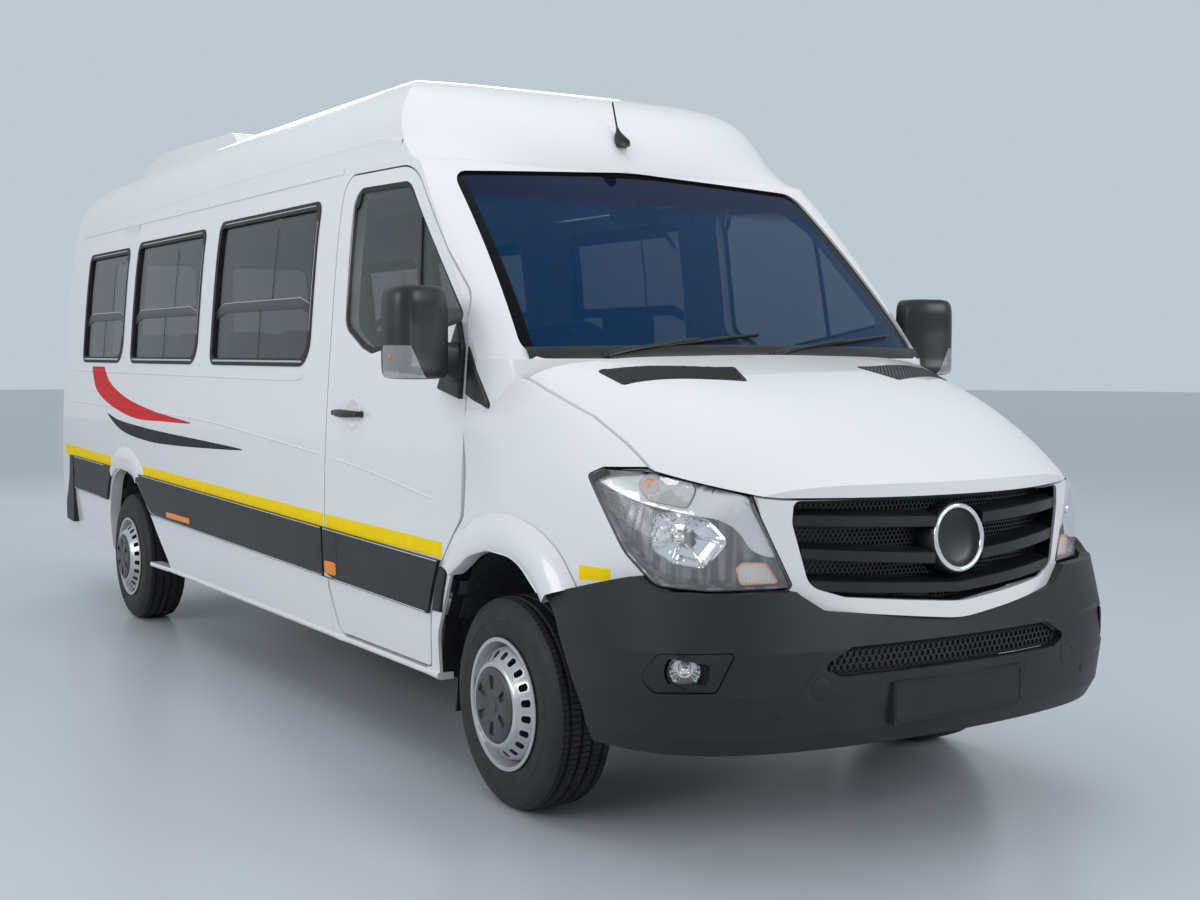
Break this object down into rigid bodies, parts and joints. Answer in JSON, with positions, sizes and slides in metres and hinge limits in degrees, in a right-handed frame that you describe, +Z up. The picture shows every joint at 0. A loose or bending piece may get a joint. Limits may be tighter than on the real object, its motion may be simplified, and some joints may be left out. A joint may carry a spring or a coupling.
{
  "type": "minibus",
  "caption": "Long high-roof minibus with hinged front and rear doors, bonnet, steered front wheels and turning wheels.",
  "frame": {"origin": "on the ground, on the centre line, half way between the ends of the bumpers", "axes": "+X forward, +Y to the vehicle's left, +Z up"},
  "size_m": [6.95, 2.498, 2.6896],
  "materials": {
    "body_paint": "gloss white paint",
    "charcoal_plastic": "grained bumper plastic",
    "moulding_plastic": "satin side moulding",
    "black_plastic": "black mirror and grille plastic",
    "window_rubber": "window rubber",
    "windscreen_glass": "blue tinted laminated glass",
    "side_window_glass": "dark green-grey tinted glass",
    "door_window_glass": "green-grey tinted glass",
    "lamp_glass": "clear lamp cover over a faceted reflector",
    "tail_lamp_red": "red lamp cover",
    "tyre_rubber": "tyre",
    "wheel_steel": "silver painted steel",
    "chassis_steel": "black chassis paint",
    "bare_steel": "cast and machined steel",
    "floor_covering": "ribbed floor covering",
    "cabin_plastic": "grained cabin plastic",
    "seat_fabric": "woven seat cover",
    "passenger_fabric": "mauve woven seat cover",
    "engine_iron": "cast engine"
  },
  "bodies": {
    "body": {"side_panel_right": "body_paint", "side_panel_left": "body_paint", "sliding_door": "body_paint", "roof": "body_paint", "windscreen_frame": "body_paint", "windscreen": "windscreen_glass", "side_glass": "side_window_glass", "window_frames": "window_rubber", "wing_right": "body_paint", "wing_left": "body_paint", "grille_surround": "body_paint", "front_lamps": "lamp_glass", "grille": "black_plastic", "front_bumper": "charcoal_plastic", "rear_bumper": "charcoal_plastic", "side_mouldings": "moulding_plastic", "tail_lamps": "tail_lamp_red", "mud_flaps": "window_rubber", "wipers": "black_plastic", "aerial": "black_plastic", "air_conditioning_unit": "body_paint", "floor": "floor_covering", "wheel_arches": "cabin_plastic", "dashboard": "cabin_plastic", "front_seats": "seat_fabric", "passenger_seats": "passenger_fabric", "chassis_rails": "chassis_steel", "front_suspension": "chassis_steel", "rear_axle": "bare_steel", "engine": "engine_iron", "fuel_tank": "cabin_plastic", "exhaust": "bare_steel"},
    "bonnet": {"bonnet": "body_paint"},
    "front_door_right": {"front_door_right": "body_paint", "front_door_glass_right": "door_window_glass", "mirror_right": "black_plastic", "door_moulding_right": "moulding_plastic"},
    "front_door_left": {"front_door_left": "body_paint", "front_door_glass_left": "door_window_glass", "mirror_left": "black_plastic", "door_moulding_left": "moulding_plastic"},
    "rear_door_right": {"rear_door_right": "body_paint", "rear_door_glass_right": "side_window_glass"},
    "rear_door_left": {"rear_door_left": "body_paint", "rear_door_glass_left": "side_window_glass"},
    "steering_wheel": {"steering_wheel": "cabin_plastic"},
    "knuckle_right": {"knuckle_right": "bare_steel"},
    "knuckle_left": {"knuckle_left": "bare_steel"},
    "wheel_front_right": {"tyre_front_right": "tyre_rubber", "rim_front_right": "wheel_steel"},
    "wheel_front_left": {"tyre_front_left": "tyre_rubber", "rim_front_left": "wheel_steel"},
    "wheel_rear_right": {"tyre_rear_right": "tyre_rubber", "rim_rear_right": "wheel_steel"},
    "wheel_rear_left": {"tyre_rear_left": "tyre_rubber", "rim_rear_left": "wheel_steel"}
  },
  "joints": [
    {"name": "front_door_right_hinge", "type": "hinge", "parent": "body", "child": "front_door_right", "pos_m": [2.149, -0.988, 1.2], "axis": [0, 0, 1], "range_deg": [0, 65]},
    {"name": "front_door_left_hinge", "type": "hinge", "parent": "body", "child": "front_door_left", "pos_m": [2.149, 0.988, 1.2], "axis": [0, 0, -1], "range_deg": [0, 65]},
    {"name": "rear_door_right_hinge", "type": "hinge", "parent": "body", "child": "rear_door_right", "pos_m": [-3.319, -0.79, 1.5], "axis": [0, 0, 1], "range_deg": [0, 90]},
    {"name": "rear_door_left_hinge", "type": "hinge", "parent": "body", "child": "rear_door_left", "pos_m": [-3.319, 0.79, 1.5], "axis": [0, 0, -1], "range_deg": [0, 90]},
    {"name": "bonnet_hinge", "type": "hinge", "parent": "body", "child": "bonnet", "pos_m": [2.365, 0, 1.505], "axis": [0, -1, 0], "range_deg": [0, 55]},
    {"name": "steer_right", "type": "hinge", "parent": "body", "child": "knuckle_right", "pos_m": [2.405, -0.7, 0.347], "axis": [0, 0, 1], "range_deg": [-35, 35]},
    {"name": "steer_left", "type": "hinge", "parent": "body", "child": "knuckle_left", "pos_m": [2.405, 0.7, 0.347], "axis": [0, 0, 1], "range_deg": [-35, 35]},
    {"name": "steering_wheel_turn", "type": "hinge", "parent": "body", "child": "steering_wheel", "pos_m": [1.845, -0.43, 1.47], "axis": [-0.6223, 0, 0.7828], "range_deg": [-525, 525]},
    {"name": "wheel_front_right_spin", "type": "hinge", "parent": "knuckle_right", "child": "wheel_front_right", "pos_m": [2.405, -0.856, 0.347], "axis": [0, 1, 0], "continuous": true},
    {"name": "wheel_front_left_spin", "type": "hinge", "parent": "knuckle_left", "child": "wheel_front_left", "pos_m": [2.405, 0.856, 0.347], "axis": [0, 1, 0], "continuous": true},
    {"name": "wheel_rear_right_spin", "type": "hinge", "parent": "body", "child": "wheel_rear_right", "pos_m": [-1.92, -0.856, 0.347], "axis": [0, 1, 0], "continuous": true},
    {"name": "wheel_rear_left_spin", "type": "hinge", "parent": "body", "child": "wheel_rear_left", "pos_m": [-1.92, 0.856, 0.347], "axis": [0, 1, 0], "continuous": true}
  ],
  "couplings": [
    {"joint": "steer_left", "follows": "steer_right", "ratio": 1},
    {"joint": "steering_wheel_turn", "follows": "steer_right", "ratio": 15}
  ]
}
